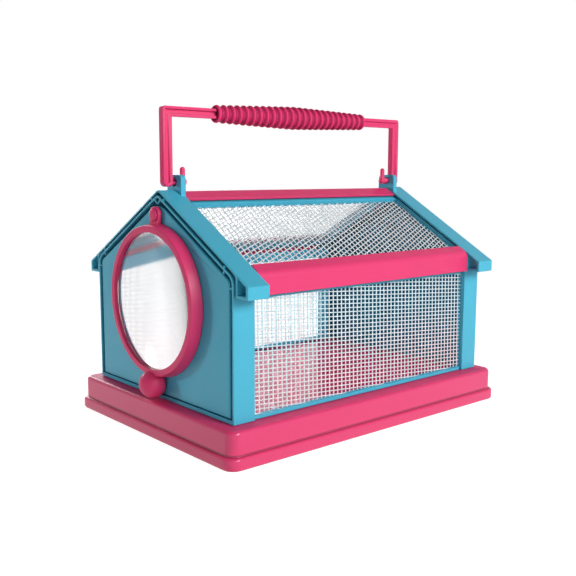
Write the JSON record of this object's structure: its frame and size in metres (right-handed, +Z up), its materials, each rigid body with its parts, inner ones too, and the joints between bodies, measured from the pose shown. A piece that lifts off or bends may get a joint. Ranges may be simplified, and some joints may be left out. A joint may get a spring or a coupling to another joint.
{
  "type": "insect cage",
  "caption": "House-shaped insect cage with net sides and roof on a hollow plinth, a round lens door that swings aside on the front gable, and a folding carrying handle with a ribbed grip.",
  "frame": {"origin": "on the ground, in the middle of the footprint, door knob included", "axes": "+X along the ridge towards the back gable, so the door faces -X; +Y towards the left side as seen from behind the door end looking to +X; +Z up"},
  "size_m": [0.205, 0.148, 0.1734],
  "materials": {
    "pink_plastic": "smooth moulded pink plastic, semi-gloss",
    "blue_plastic": "smooth moulded sky-blue plastic, semi-gloss",
    "white_net": "fine white plastic net, matt",
    "clear_lens": "clear polished lens"
  },
  "bodies": {
    "cage": {"base_tray": "pink_plastic", "front_end_frame": "blue_plastic", "front_gable_panel": "blue_plastic", "front_roof_cap": "blue_plastic", "back_end_frame": "blue_plastic", "back_gable_panel": "blue_plastic", "back_roof_cap": "blue_plastic", "right_side_frame": "blue_plastic", "right_side_net": "white_net", "right_eave_rail": "pink_plastic", "right_roof_frame": "blue_plastic", "right_roof_net": "white_net", "left_side_frame": "blue_plastic", "left_side_net": "white_net", "left_eave_rail": "pink_plastic", "left_roof_frame": "blue_plastic", "left_roof_net": "white_net", "ridge_beam": "pink_plastic", "door_pivot_pin": "pink_plastic"},
    "handle": {"handle_bail": "pink_plastic", "handle_grip": "pink_plastic"},
    "door": {"door_ring": "pink_plastic", "door_lens": "clear_lens"}
  },
  "joints": [
    {"name": "handle_fold", "type": "hinge", "parent": "cage", "child": "handle", "pos_m": [0.00055, 0, 0.1313], "axis": [1, 0, 0], "range_deg": [-118, 118]},
    {"name": "door_swing", "type": "hinge", "parent": "cage", "child": "door", "pos_m": [-0.0917, 0, 0.11471], "axis": [1, 0, 0], "continuous": true}
  ]
}
